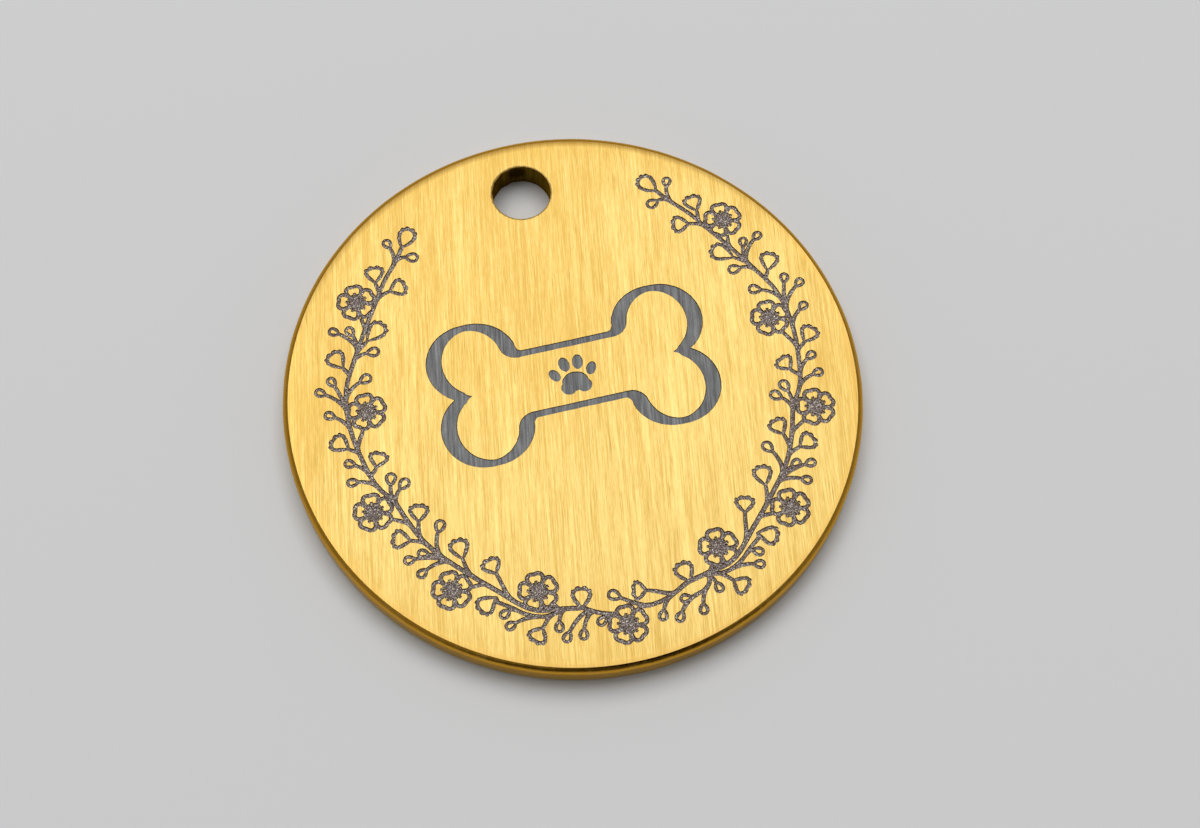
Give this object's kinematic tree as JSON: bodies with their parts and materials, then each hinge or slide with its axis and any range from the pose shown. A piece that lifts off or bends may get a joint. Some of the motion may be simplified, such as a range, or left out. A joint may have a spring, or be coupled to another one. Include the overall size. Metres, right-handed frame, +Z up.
{
  "type": "dog tag",
  "caption": "Thin round metal pet tag with a polished rim and a hole near its edge for a split ring.",
  "frame": {"origin": "centre of the flat back face, which lies on the ground plane", "axes": "+Z up out of the engraved front face, +Y from the disc's centre towards the ring hole, +X to the right when the front is read with the hole at the top"},
  "size_m": [0.03, 0.03, 0.0016],
  "materials": {
    "gold_finish": "stainless steel with a thin gold-coloured coating, straight brushed on the faces and polished on the rim"
  },
  "bodies": {
    "root": {"tag_disc": "gold_finish"}
  },
  "joints": []
}
